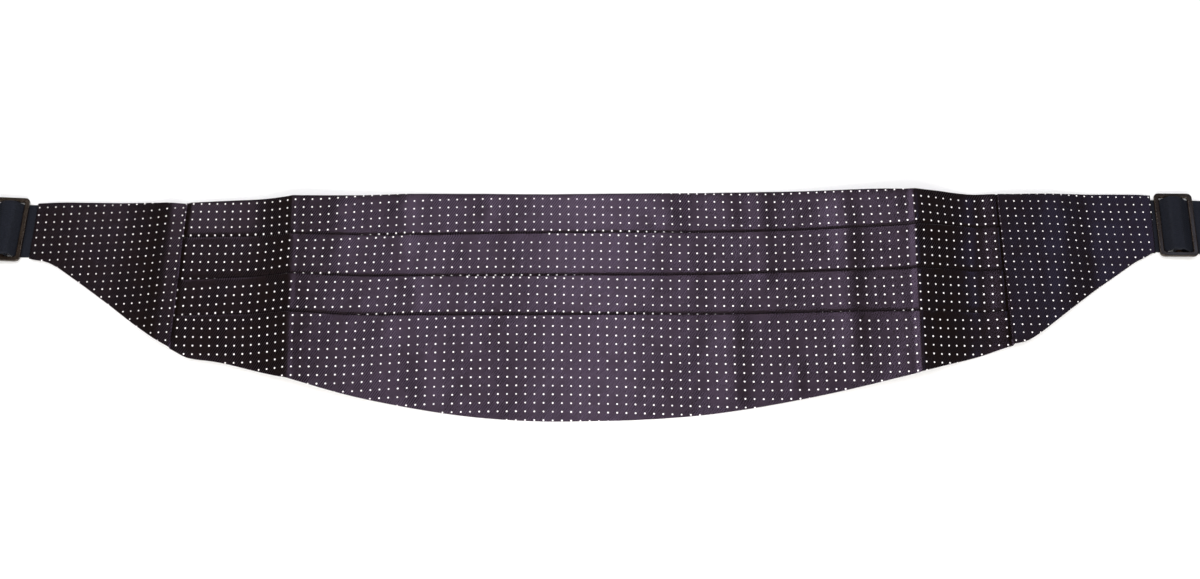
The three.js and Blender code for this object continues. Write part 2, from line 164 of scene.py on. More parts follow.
# Soft upright ripples that the sash was folded into: X, the heights they run between, how
# wide and high they are, and how much steeper their right side is
RIPPLES = (
    {"x": -139, "low": 16, "high": 66, "width": 7, "height": 0.19, "skew": 0},
    {"x": -103, "low": 14, "high": 68, "width": 6, "height": 0.25, "skew": 0.2},
    {"x": -95, "low": -8, "high": 14, "width": 5.5, "height": 0.24, "skew": 0.2},
    {"x": -109, "low": -30, "high": -8, "width": 7, "height": 0.15, "skew": 0},
    {"x": -88, "low": -60, "high": -28, "width": 6, "height": 0.16, "skew": 0.2},
    {"x": -58.4, "low": 50, "high": 68, "width": 4.5, "height": 0.18, "skew": 0.3},
    {"x": 23, "low": -62, "high": -32, "width": 7, "height": 0.13, "skew": 0},
    {"x": 41.7, "low": 48, "high": 66, "width": 5.5, "height": 0.15, "skew": 0.2},
    {"x": 55, "low": -30, "high": 42, "width": 7, "height": 0.17, "skew": 0},
    {"x": 76, "low": 42, "high": 66, "width": 6, "height": 0.16, "skew": 0.3},
    {"x": 75.3, "low": -60, "high": -8, "width": 7, "height": 0.27, "skew": 0.2},
    {"x": 93.6, "low": 12, "high": 66, "width": 5.5, "height": 0.2, "skew": 0.3},
    {"x": 108.4, "low": -54, "high": -34, "width": 3, "height": 0.14, "skew": 0.3},
    {"x": 138.5, "low": -34, "high": 60, "width": 7, "height": 0.46, "skew": 0.2},
    {"x": 172, "low": 40, "high": 76, "width": 36, "height": 1.5, "skew": 0},
    {"x": -198, "low": -40, "high": 40, "width": 9, "height": 0.25, "skew": 0},
)


def smooth_curve(table, column, places, key="along"):
    """A column of a table at any places, on a smooth curve through its rows."""
    xs = np.array(table[key], float)
    ys = np.array(table[column], float)
    slopes = np.gradient(ys, xs)
    places = np.clip(places, xs[0], xs[-1])
    row = np.clip(np.searchsorted(xs, places, side="right") - 1, 0, len(xs) - 2)
    span = xs[row + 1] - xs[row]
    t = (places - xs[row]) / span
    return (
        ys[row] * (1 + 2 * t) * (1 - t) ** 2
        + slopes[row] * span * t * (1 - t) ** 2
        + ys[row + 1] * t * t * (3 - 2 * t)
        + slopes[row + 1] * span * t * t * (t - 1)
    )


def straight_curve(table, column, places, key="along"):
    return np.interp(places, table[key], table[column])


def ease(t):
    t = np.clip(t, 0, 1)
    return t * t * (3 - 2 * t)


PROFILE_STEP = 0.25
CREASE_BLUR = 1.1
SOFT_BLUR = 4.5
CREASE_REACH = 7


def blurred(values, width):
    reach = int(4 * width / PROFILE_STEP)
    offsets = np.arange(-reach, reach + 1) * PROFILE_STEP
    weights = np.exp(-(offsets / width) ** 2 / 2)
    padded = np.pad(values, reach, mode="edge")
    return np.convolve(padded, weights / weights.sum(), mode="valid")


profile_x = np.arange(-0.54 * FRONT_LENGTH, 0.54 * FRONT_LENGTH, PROFILE_STEP)
profile_rise = RIDGE_HEIGHT * straight_curve(FRONT_RISE, "rise", profile_x / FRONT_LENGTH)
near_crease = np.max(
    [1 - ease(np.abs(profile_x - crease * FRONT_LENGTH) / CREASE_REACH)
     for crease in (LEFT_CREASE, RIGHT_CREASE)],
    axis=0,
)
profile_rise = (
    blurred(profile_rise, CREASE_BLUR) * near_crease
    + blurred(profile_rise, SOFT_BLUR) * (1 - near_crease)
)
profile_run = np.concatenate(
    [[0], np.cumsum(np.hypot(np.diff(profile_x), np.diff(profile_rise)))]
)
profile_run -= np.interp(0, profile_x, profile_run)


def rise_at(x):
    return np.interp(x, profile_x, profile_rise)


def run_at(x):
    """Length along the cloth from the middle of the front."""
    return np.interp(x, profile_x, profile_run)


def front_at(x):
    along = np.asarray(x, float) / FRONT_LENGTH
    section = {
        name: FRONT_HEIGHT * smooth_curve(FRONT_OUTLINE, name, along)
        for name in ("top", "fold1", "fold2", "fold3")
    }
    section["hem"] = FRONT_HEIGHT * smooth_curve(FRONT_HEM, "hem", along)
    section["lean"] = straight_curve(FRONT_RISE, "lean", along)
    return section


WAVE_COUNT = 14
WAVE_SEED = 7
random = np.random.default_rng(WAVE_SEED)
WAVES = [
    {
        "along": 2 * math.pi / random.uniform(9, 34),
        "across": 2 * math.pi / random.uniform(18, 90) * random.choice((-1, 1)),
        "start": random.uniform(0, 2 * math.pi),
        "height": random.uniform(0.008, 0.022),
    }
    for _ in range(WAVE_COUNT)
]


def ripple_height(x, y):
    """Height that the upright ripples and the cloth's own unevenness add, at points X, Y."""
    total = np.zeros_like(x)
    for ripple in RIPPLES:
        middle = (ripple["low"] + ripple["high"]) / 2
        half = (ripple["high"] - ripple["low"]) / 2
        window = 1 - ease((np.abs(y - middle) - 0.6 * half) / (0.8 * half))
        offset = (x - ripple["x"]) / ripple["width"]
        skewed = offset * (1 + ripple["skew"] * np.tanh(offset))
        total += ripple["height"] * window * np.exp(-skewed ** 2)
    for wave in WAVES:
        phase = wave["along"] * x + wave["across"] * y + wave["start"]
        total += wave["height"] * (1 + np.sin(phase)) / 2
    return total


# Meshes

def add_mesh(name, points, faces, uvs=None):
    """A mesh object from points in millimetres, its faces, and a pattern place per point."""
    mesh = bpy.data.meshes.new(name)
    mesh.from_pydata((np.asarray(points) * MM).tolist(), [], faces)
    if uvs is not None:
        layer = mesh.uv_layers.new(name="cloth")
        corners = np.zeros(len(mesh.loops), np.int32)
        mesh.loops.foreach_get("vertex_index", corners)
        layer.data.foreach_set("uv", np.asarray(uvs, np.float32)[corners].ravel())
    mesh.polygons.foreach_set("use_smooth", [True] * len(mesh.polygons))
    mesh.update()
    piece = bpy.data.objects.new(name, mesh)
    bpy.context.scene.collection.objects.link(piece)
    return piece


def sheet_mesh(name, middle, wall, pattern):
    """A closed sheet from a grid of points on its middle surface, its wall at each, and the
    place in the pattern of each. The wall shrinks to nothing at the grid's border, where the
    two faces meet."""
    rows, columns = middle.shape[:2]
    along = np.gradient(middle, axis=0)
    across = np.gradient(middle, axis=1)
    normals = np.cross(along, across)
    normals /= np.linalg.norm(normals, axis=2, keepdims=True)
    half = wall[..., None] / 2
    upper = middle + normals * half
    lower = middle - normals * half
    inside = np.zeros((rows, columns), bool)
    inside[1:-1, 1:-1] = True
    upper_index = np.arange(rows * columns).reshape(rows, columns)
    lower_index = upper_index.copy()
    lower_index[inside] = rows * columns + np.arange(inside.sum())
    points = np.vstack([
        np.where(inside[..., None], upper, middle).reshape(-1, 3), lower[inside],
    ])
    places = np.vstack([pattern.reshape(-1, 2), pattern[inside]])

    def quads(index):
        return np.stack(
            [index[:-1, :-1], index[1:, :-1], index[1:, 1:], index[:-1, 1:]], axis=-1,
        ).reshape(-1, 4)

    faces = np.vstack([quads(upper_index), quads(lower_index)[:, ::-1]])
    return add_mesh(name, points, faces.tolist(), places)


RIM_STEPS = (0, 0.07, 0.27, 0.6, 1)


def with_rims(places, wall=CLOTH_WALL):
    """Adds the closely spaced places that round a sheet's edge at both ends."""
    radius = wall / 2
    first = places[0] + radius * np.array(RIM_STEPS)
    last = places[-1] - radius * np.array(RIM_STEPS[::-1])
    inner = places[(places > first[-1] + radius) & (places < last[0] - radius)]
    return np.concatenate([first, inner, last])


def rim_shape(distance, wall=CLOTH_WALL):
    """Share of the wall that is left at a distance from a rounded edge."""
    t = np.clip(distance / (wall / 2), 0, 1)
    return np.sqrt(np.clip(1 - (1 - t) ** 2, 0, 1))


# The pleated front

def half_turn(tip, facing, start_z, end_z, steps):
    """Half circle of the cloth's middle from one height to another, with its outer edge at
    tip, towards +Y if facing is 1 and towards -Y if it is -1."""
    radius = abs(end_z - start_z) / 2
    centre = tip - facing * (radius + CLOTH_WALL / 2)
    angles = np.linspace(-math.pi / 2, math.pi / 2, steps) * np.sign(end_z - start_z)
    y = centre + facing * radius * np.cos(angles)
    z = (start_z + end_z) / 2 + radius * np.sin(angles)
    return np.stack([y, z], axis=1)


# Heights of the cloth's middle: in each layer, along the hem, above the dip beside a fold, and
# on a fold's rim
LEVELS = [CLOTH_WALL / 2 + level * LAYER_STEP for level in range(3)]
BAND_LEVEL = LEVELS[0] + 0.3
DIP_LEVEL = LEVELS[0] + 0.6
FOLD_LEVEL = LEVELS[2] + 0.25
DIP_LENGTH = 1.9
DIP_SHARES = (0, 0.3, 0.65, 1)
VISIBLE_POINTS = 9
LAST_BAND_POINTS = 22


def line(from_y, to_y, from_z, to_z, count):
    t = np.linspace(0, 1, count)[1:]
    return np.stack([from_y + (to_y - from_y) * t, from_z + (to_z - from_z) * t], axis=1)


def front_path(section):
    """Middle line of the pleated cloth across its height, and the band that each point is in."""
    top, hem = section["top"], section["hem"]
    folds = [section["fold1"], section["fold2"], section["fold3"]]
    runs = []

    def add(points, band):
        runs.append((np.asarray(points), band))

    rim = CLOTH_WALL / 2 * np.array(RIM_STEPS)
    start = np.concatenate([top - TOP_HEM + rim, [top - 7, top - 4, top - 1.5]])
    add(np.stack([start, np.full_like(start, LEVELS[0])], axis=1), 0)
    add(half_turn(top, 1, LEVELS[0], LEVELS[1], 7), 0)
    add(line(top - 1, top - TOP_HEM, LEVELS[1], LEVELS[1], 4), 0)
    after = top - TOP_HEM
    height = LEVELS[1]
    for band, fold in enumerate(folds):
        dip = fold + DIP_LENGTH
        add(line(after, dip, height, DIP_LEVEL, VISIBLE_POINTS), band)
        y = np.array([dip - share * DIP_LENGTH for share in DIP_SHARES[1:]])
        z = DIP_LEVEL + (LEVELS[0] - DIP_LEVEL) * ease(np.array(DIP_SHARES[1:]))
        add(np.stack([y, z], axis=1), band)
        tuck = fold - PLEAT_DEPTH
        add(line(fold, tuck + 1, LEVELS[0], LEVELS[0], 4), band)
        add(half_turn(tuck, -1, LEVELS[0], LEVELS[1], 5), band)
        add(line(tuck + 1, fold - 1.6, LEVELS[1], LEVELS[1], 4), band)
        add(half_turn(fold, 1, LEVELS[1], FOLD_LEVEL, 9), band + 1)
        settle = ((1.5, 0.06), (3, 0.35), (5, 0.75), (PLEAT_DEPTH + 0.3, 1))
        add(
            [(fold - y, FOLD_LEVEL + (LEVELS[2] - FOLD_LEVEL) * share) for y, share in settle],
            band + 1,
        )
        after = fold - PLEAT_DEPTH - 0.3
        height = LEVELS[2]
    level_off = max(hem + 3, after - 24)
    add(line(after, level_off, height, BAND_LEVEL, 8), 3)
    rim = CLOTH_WALL / 2 * np.array(RIM_STEPS[::-1])
    last = np.linspace(level_off, hem + CLOTH_WALL, LAST_BAND_POINTS)[1:]
    last = np.concatenate([last, hem + rim])
    add(np.stack([last, np.full_like(last, BAND_LEVEL)], axis=1), 3)
    points = np.vstack([run[0] for run in runs])
    bands = np.concatenate([[run[1]] * len(run[0]) for run in runs])
    return points, bands


# How much closer the columns stand 200 mm out, to the left and to the right
PITCH_SHRINK = (0.024, 0.008)


def pattern_place(x, y, band):
    """Place in the dot pattern, in pitches, of points in one band of the front."""
    phase = BAND_PHASES[band]
    name = phase["band"]
    lean = straight_curve(COLUMN_LEANS, name, x, key="x")
    rows = smooth_curve(DOT_ROWS, name, x, key="x")
    above = y - phase["height"]
    run = run_at(x + lean * above)
    shrink = np.where(run < 0, *PITCH_SHRINK) * (run / 200) ** 2
    u = run * phase["stretch"] * (1 + shrink) / DOT_PITCH + phase["column"]
    v = (above + rows) / DOT_PITCH + phase["row"]
    return np.stack([u, v], axis=-1)


# A row of dots that would fall on a fold's rim is turned out of sight
RIM_REACH = 2.1
DOT_CLEARANCE = 0.2
# A shallow groove in the front beside each seam
SEAM_GROOVE = 0.7
SEAM_GROOVE_WIDTH = 1.3
# The laps under the end panels are trimmed back, so that they don't show past them
LAP_TUCK_LENGTH = 3
LAP_TUCK_TOP = 2.5
LAP_TUCK_HEM = 4.5
STATION_STEP = 2.1
CREASE_STEP = 0.55


def front_stations():
    """X of the lines across the front, closer together at the creases and the seams."""
    reach = FRONT_LENGTH / 2 + SEAM_LAP - 1.5
    base = np.arange(-reach, reach + STATION_STEP / 2, STATION_STEP)
    base = base * reach / abs(base[-1])
    near = np.arange(-4, 4 + CREASE_STEP / 2, CREASE_STEP)
    places = [crease * FRONT_LENGTH for crease in (LEFT_CREASE, RIGHT_CREASE)]
    places += [-FRONT_LENGTH / 2, FRONT_LENGTH / 2]
    close = [place + near for place in places]
    far = [x for x in base if all(np.abs(group - x).min() > CREASE_STEP for group in close)]
    return with_rims(np.sort(np.concatenate([far, *close])))


def pleated_front():
    stations = front_stations()
    section = front_at(stations)
    under_panel = ease((np.abs(stations) - FRONT_LENGTH / 2) / LAP_TUCK_LENGTH)
    section["top"] = section["top"] - LAP_TUCK_TOP * under_panel
    section["hem"] = section["hem"] + LAP_TUCK_HEM * under_panel
    rows = []
    for index in range(len(stations)):
        path, bands = front_path({name: values[index] for name, values in section.items()})
        rows.append(path)
    paths = np.array(rows)
    y = paths[..., 0]
    x = stations[:, None] + section["lean"][:, None] * y
    groove = SEAM_GROOVE * np.exp(
        -((np.abs(stations) - FRONT_LENGTH / 2 + 0.4) / SEAM_GROOVE_WIDTH) ** 2
    )
    z = paths[..., 1] + (rise_at(stations) - groove)[:, None] + ripple_height(x, y)
    middle = np.stack([x, y, z], axis=-1)
    pattern = np.zeros(middle.shape[:2] + (2,))
    for band in range(len(BAND_PHASES)):
        inside = bands == band
        pattern[:, inside] = pattern_place(x[:, inside], y[:, inside], band)
    for band, fold in enumerate(("fold1", "fold2", "fold3"), start=1):
        rim_start = section[fold] - RIM_REACH
        rim_x = stations + section["lean"] * rim_start
        first = pattern_place(rim_x, rim_start, band)[..., 1]
        next_row = np.ceil(first)
        limit = np.where(next_row - first > DOT_CLEARANCE, next_row - DOT_CLEARANCE, next_row + 1)
        on_rim = (bands == band) & (y > rim_start[:, None])
        pattern[..., 1] = np.where(
            on_rim, np.minimum(pattern[..., 1], limit[:, None]), pattern[..., 1],
        )
    span = np.concatenate([
        np.zeros((len(stations), 1)),
        np.cumsum(np.linalg.norm(np.diff(paths, axis=1), axis=2), axis=1),
    ], axis=1)
    edge = np.minimum(span, span[:, -1:] - span)
    ends = np.minimum(stations - stations[0], stations[-1] - stations)[:, None]
    wall = CLOTH_WALL * rim_shape(edge) * rim_shape(ends)
    return sheet_mesh("pleated_cloth", middle, wall, pattern), float(span.mean(axis=0)[-1])


# End panels

# The dots of the end panels: their pitches, a dot's place, how the rows climb, and how the
# columns lean at the seam and at the strap
PANEL_DOTS = {
    "left": {"column_pitch": 4.39, "row_pitch": 4.62, "x": -260.3, "y": 31.2, "climb": 0.035,
             "seam_lean": -0.01, "strap_lean": 0.05},
    "right": {"column_pitch": 4.5, "row_pitch": 4.6, "x": 259.9, "y": 36.4, "climb": -0.005,
              "seam_lean": 0.01, "strap_lean": 0.03},
}
PANEL_WALL = 0.7
# An end panel's height at the seam, laid flat
PANEL_STEP = 1.1


def end_panel(name):
    """A panel that laps over the pleats at the seam and narrows to the strap."""
    end = ENDS[name]
    side = end["side"]
    seam_x = side * FRONT_LENGTH / 2
    seam = {key: float(value) for key, value in front_at(seam_x).items()}
    strap_top = end["strap_height"] + STRAP_WIDTH / 2 + END_MARGIN
    strap_hem = end["strap_height"] - STRAP_WIDTH / 2 - END_MARGIN
    reach = END_PANEL_LENGTH + end["overhang"]
    outs = np.arange(0, reach + PANEL_STEP / 2, PANEL_STEP)
    outs = with_rims(outs * reach / outs[-1], PANEL_WALL)
    share = np.minimum(outs / END_PANEL_LENGTH, 1)
    curve = {
        column: smooth_curve(PANEL_SECTIONS, f"{name}_{column}", share, key="out")
        for column in ("hem", "top", "settle")
    }
    top = seam["top"] + (strap_top - seam["top"]) * share + curve["top"]
    hem = seam["hem"] + (strap_hem - seam["hem"]) * curve["hem"]
    lean = seam["lean"] + (end["lean"] - seam["lean"]) * share
    seam_base = rise_at(seam_x) + STACK + 0.5
    base = STRAP_WALL + STRAP_GAP + (seam_base - STRAP_WALL - STRAP_GAP) * curve["settle"]
    count = 90
    rows = []
    for low, high in zip(hem, top):
        ys = np.linspace(low, high, count - 2 * len(RIM_STEPS))
        radius = PANEL_WALL / 2
        inner = low + radius * 1.5 + (high - low - 3 * radius) * np.linspace(0, 1, len(ys))
        rows.append(np.concatenate([
            low + radius * np.array(RIM_STEPS), inner, high - radius * np.array(RIM_STEPS[::-1]),
        ]))
    y = np.array(rows)
    x = seam_x + side * outs[:, None] + lean[:, None] * (y - end["strap_height"])
    edge = np.minimum(y - hem[:, None], top[:, None] - y)
    ends = np.minimum(outs, outs[-1] - outs)[:, None]
    dots = PANEL_DOTS[name]
    z = base[:, None] + PANEL_WALL / 2 + 0.6 * ripple_height(x, y)
    middle = np.stack([x, y, z], axis=-1)
    wall = PANEL_WALL * rim_shape(edge, PANEL_WALL) * rim_shape(ends, PANEL_WALL)
    column_lean = dots["seam_lean"] + (dots["strap_lean"] - dots["seam_lean"]) * share[:, None]
    u = (x - dots["x"] + column_lean * (y - dots["y"])) / dots["column_pitch"]
    v = (y - dots["y"] - dots["climb"] * (x - dots["x"])) / dots["row_pitch"]
    pattern = np.stack([u, v], axis=-1)
    if side < 0:
        middle, wall, pattern = middle[::-1], wall[::-1], pattern[::-1]
    area = float(np.sum(np.diff(outs) * ((top - hem)[1:] + (top - hem)[:-1]) / 2))
    return sheet_mesh(f"end_cloth_{name}", middle, wall, pattern), area


# Straps

STRAP_STEP = STRAP_WALL + STRAP_GAP
SLIDE_TILT = math.atan2(STRAP_STEP, SLIDE_LENGTH - SLIDE_BAR)


# Where the strap starts to climb, past the slide's inner bar
RISE_START = 1


def slide_floor(along):
    return STRAP_STEP + math.tan(SLIDE_TILT) * along


def strap_corners(setback):
    """The strap's turns in its own X and Z, outward from the panel's end, with the bend at
    each: under the inner bar, over the centre bar, under the outer bar, round the clasp's
    bar, back below and round the centre bar."""
    low = STRAP_WALL / 2
    high = low + STRAP_STEP
    clear = STRAP_GAP + STRAP_WALL / 2
    over_bend = STRAP_BEND + STRAP_STEP
    bar_start = setback + (SLIDE_LENGTH - CENTRE_BAR) / 2
    bar_end = bar_start + CENTRE_BAR
    loop_side = bar_start - clear
    loop_top = slide_floor(bar_end - setback) + SLIDE_THICKNESS + clear
    over_side = loop_side - STRAP_STEP
    over_top = loop_top + STRAP_STEP
    slot_end = setback + SLIDE_LENGTH - SLIDE_BAR - clear
    clasp_end = STRAP_REACH + CLASP_BAR + clear
    clasp_top = low + 2 * clear + CLASP_THICKNESS
    return [
        (-STRAP_TAIL, low, 0),
        (setback + SLIDE_BAR + RISE_START, low, STRAP_BEND),
        (over_side, over_top, over_bend),
        (bar_end + clear, over_top, over_bend),
        (slot_end, high, STRAP_BEND),
        (STRAP_REACH - 2 * CLASP_THICKNESS, high, STRAP_BEND),
        (STRAP_REACH, clasp_top, STRAP_BEND),
        (clasp_end, clasp_top, STRAP_BEND),
        (clasp_end, low, STRAP_BEND),
        (loop_side, low, STRAP_BEND),
        (loop_side, loop_top, STRAP_BEND),
        (bar_end, loop_top, 0),
    ]


def round_corners(corners, steps=10, longest=3):
    """A line of straight runs with rounded corners, with no gap longer than longest."""
    points = np.array([corner[:2] for corner in corners], float)
    path = [points[0]]
    for index in range(1, len(points) - 1):
        corner = points[index]
        back = points[index - 1] - corner
        ahead = points[index + 1] - corner
        back_length, ahead_length = np.linalg.norm(back), np.linalg.norm(ahead)
        half = math.acos(back @ ahead / back_length / ahead_length) / 2
        room = 0.49 * min(back_length, ahead_length)
        cut = min(corners[index][2] / math.tan(half), room)
        start = corner + back / back_length * cut
        end = corner + ahead / ahead_length * cut
        for t in np.linspace(0, 1, steps):
            path.append(start * (1 - t) ** 2 + 2 * corner * t * (1 - t) + end * t * t)
    path.append(points[-1])
    fine = [path[0]]
    for point in path[1:]:
        gap = np.linalg.norm(point - fine[-1])
        pieces = max(1, math.ceil(gap / longest))
        start = fine[-1]
        fine.extend(start + (point - start) * (step + 1) / pieces for step in range(pieces))
    return np.array(fine)


def end_matrix(name):
    """Places what lies beyond the cloth at one end, from its own X and Z, in millimetres."""
    end = ENDS[name]
    place = Vector((end["side"] * (FRONT_LENGTH / 2 + END_PANEL_LENGTH), end["strap_height"], 0))
    angle = math.radians(end["turn"]) + (math.pi if end["side"] < 0 else 0)
    return Matrix.Translation(place) @ Matrix.Rotation(angle, 4, "Z")


RIB_COUNT = 24
RIB_DEPTH = 0.05


def strap(name):
    """Webbing with fine ribs along it."""
    path = round_corners(strap_corners(ENDS[name]["setback"]))
    span = np.concatenate([[0], np.cumsum(np.linalg.norm(np.diff(path, axis=0), axis=1))])
    rim = STRAP_WALL / 2 * np.array(RIM_STEPS)
    first = np.array([np.interp(rim, span, path[:, axis]) for axis in (0, 1)]).T
    last = np.array([np.interp(span[-1] - rim[::-1], span, path[:, axis]) for axis in (0, 1)]).T
    inner = path[(span > rim[-1] * 1.2) & (span < span[-1] - rim[-1] * 1.2)]
    path = np.vstack([first, inner, last])
    span = np.concatenate([[0], np.cumsum(np.linalg.norm(np.diff(path, axis=0), axis=1))])
    half_width = STRAP_WIDTH / 2
    across = with_rims(np.linspace(-half_width, half_width, 6 * RIB_COUNT + 1), STRAP_WALL)
    ribs = RIB_DEPTH * np.cos(across / STRAP_WIDTH * RIB_COUNT * 2 * math.pi)
    middle = np.zeros((len(path), len(across), 3))
    middle[..., 0] = path[:, None, 0]
    middle[..., 1] = across[None, :]
    middle[..., 2] = path[:, None, 1]
    edge = np.minimum(across + half_width, half_width - across)[None, :]
    ends = np.minimum(span, span[-1] - span)[:, None]
    shape = rim_shape(edge, STRAP_WALL) * rim_shape(ends, STRAP_WALL)
    wall = (STRAP_WALL - 2 * RIB_DEPTH + 2 * ribs[None, :]) * shape
    pattern = np.zeros(middle.shape[:2] + (2,))
    pattern[..., 0] = span[:, None]
    pattern[..., 1] = across[None, :]
    matrix = np.array(end_matrix(name))
    placed = middle @ matrix[:3, :3].T + matrix[:3, 3]
    return sheet_mesh(f"webbing_{name}", placed, wall, pattern), float(span[-1])


# Slides

def rounded_rectangle(x, y, length, height, corner, steps=6):
    points = []
    middles = (
        (x + length - corner, y + corner, -90), (x + length - corner, y + height - corner, 0),
        (x + corner, y + height - corner, 90), (x + corner, y + corner, 180),
    )
    for middle_x, middle_y, start in middles:
        for step in range(steps + 1):
            angle = math.radians(start + 90 * step / steps)
            x_reach, y_reach = corner * math.cos(angle), corner * math.sin(angle)
            points.append((middle_x + x_reach, middle_y + y_reach))
    return points


def bevelled_plate(name, outlines, thickness, bevel, matrix):
    """A flat plate through outlines, the first the outer one, with well rounded edges."""
    curve = bpy.data.curves.new(name, "CURVE")
    curve.dimensions = "2D"
    curve.fill_mode = "BOTH"
    curve.extrude = (thickness / 2 - bevel) * MM
    curve.bevel_depth = bevel * MM
    curve.bevel_resolution = 4
    curve.offset = -bevel * MM
    for outline in outlines:
        spline = curve.splines.new("POLY")
        spline.points.add(len(outline) - 1)
        for point, (x, y) in zip(spline.points, outline):
            point.co = (x * MM, y * MM, 0, 1)
        spline.use_cyclic_u = True
    drawn = bpy.data.objects.new(name + "_curve", curve)
    bpy.context.scene.collection.objects.link(drawn)
    bpy.context.view_layer.update()
    graph = bpy.context.evaluated_depsgraph_get()
    mesh = bpy.data.meshes.new_from_object(drawn.evaluated_get(graph))
    bpy.data.objects.remove(drawn)
    mesh.transform(Matrix.Translation((0, 0, thickness / 2 * MM)))
    in_metres = matrix.copy()
    in_metres.translation = matrix.translation * MM
    mesh.transform(in_metres)
    mesh.polygons.foreach_set("use_smooth", [True] * len(mesh.polygons))
    plate = bpy.data.objects.new(name, mesh)
    bpy.context.scene.collection.objects.link(plate)
    return plate


SLIDE_CORNER = 2.7
WINDOW_CORNER = 1.1
# How much the moulded bars are wider than the plain ones
BAR_SWELL = 0.3
SLIDE_BEVEL = 0.55


def slide(name):
    bar = SLIDE_BAR + BAR_SWELL
    slot = (SLIDE_LENGTH - 2 * bar - CENTRE_BAR) / 2
    window = SLIDE_HEIGHT - 2 * bar
    outlines = [
        rounded_rectangle(0, -SLIDE_HEIGHT / 2, SLIDE_LENGTH, SLIDE_HEIGHT, SLIDE_CORNER),
    ]
    for start in (bar, bar + slot + CENTRE_BAR):
        hole = rounded_rectangle(start, -window / 2, slot, window, WINDOW_CORNER)
        outlines.append(hole[::-1])
    place = Matrix.Translation((ENDS[name]["setback"], 0, slide_floor(0)))
    tilt = Matrix.Rotation(-SLIDE_TILT, 4, "Y")
    return bevelled_plate(
        f"glossy_slide_{name}", outlines, SLIDE_THICKNESS, SLIDE_BEVEL,
        end_matrix(name) @ place @ tilt,
    )


# Materials

def material(name):
    made = bpy.data.materials.new(name)
    made.use_nodes = True
    return made, made.node_tree.nodes, made.node_tree.links


def math_node(nodes, links, operation, *values):
    node = nodes.new("ShaderNodeMath")
    node.operation = operation
    for socket, value in zip(node.inputs, values):
        if isinstance(value, (int, float)):
            socket.default_value = value
        else:
            links.new(value, socket)
    return node.outputs[0]


def mix_colours(nodes, links, factor, first, second):
    node = nodes.new("ShaderNodeMix")
    node.data_type = "RGBA"
    if isinstance(factor, (int, float)):
        node.inputs["Factor"].default_value = factor
    else:
        links.new(factor, node.inputs["Factor"])
    for socket, value in zip((node.inputs[6], node.inputs[7]), (first, second)):
        if isinstance(value, tuple):
            socket.default_value = (*value, 1)
        else:
            links.new(value, socket)
    return node.outputs[2]


def ramp(nodes, links, value, low, high, to_low=0, to_high=1):
    node = nodes.new("ShaderNodeMapRange")
    node.interpolation_type = "SMOOTHSTEP"
    links.new(value, node.inputs["Value"])
    node.inputs["From Min"].default_value = low
    node.inputs["From Max"].default_value = high
    node.inputs["To Min"].default_value = to_low
    node.inputs["To Max"].default_value = to_high
    return node.outputs["Result"]


def noise(nodes, links, vector, scale, detail=2):
    node = nodes.new("ShaderNodeTexNoise")
    node.inputs["Scale"].default_value = scale
    node.inputs["Detail"].default_value = detail
    links.new(vector, node.inputs["Vector"])
    return node.outputs["Fac"]


def scaled_colour(nodes, links, colour, factor):
    node = nodes.new("ShaderNodeVectorMath")
    node.operation = "SCALE"
    if isinstance(colour, tuple):
        node.inputs[0].default_value = colour
    else:
        links.new(colour, node.inputs[0])
    links.new(factor, node.inputs["Scale"])
    return node.outputs[0]


# Twill lines in a dot pitch, along the sash and up it
TWILL_ALONG = 3.4
TWILL_UP = 2.2
# The webbing's threads across it and its ribs along it, in millimetres apart
WEFT_SPACING = 0.7
RIB_SPACING = 0.667
GROUND_BROWN = (0.005, 0.003, 0.0018)
GROUND_PLUM = (0.0052, 0.0037, 0.0035)
DOT_THREAD = (0.93, 0.9, 0.9)


def cloth_map(nodes, links):
    """The two directions of a sheet's pattern map."""
    where = nodes.new("ShaderNodeUVMap")
    where.uv_map = "cloth"
    split = nodes.new("ShaderNodeSeparateXYZ")
    links.new(where.outputs["UV"], split.inputs[0])
    return split.outputs["X"], split.outputs["Y"]


def add_bump(nodes, links, shader, height, strength, depth):
    bump = nodes.new("ShaderNodeBump")
    bump.inputs["Strength"].default_value = strength
    bump.inputs["Distance"].default_value = depth * MM
    links.new(height, bump.inputs["Height"])
    links.new(bump.outputs["Normal"], shader.inputs["Normal"])


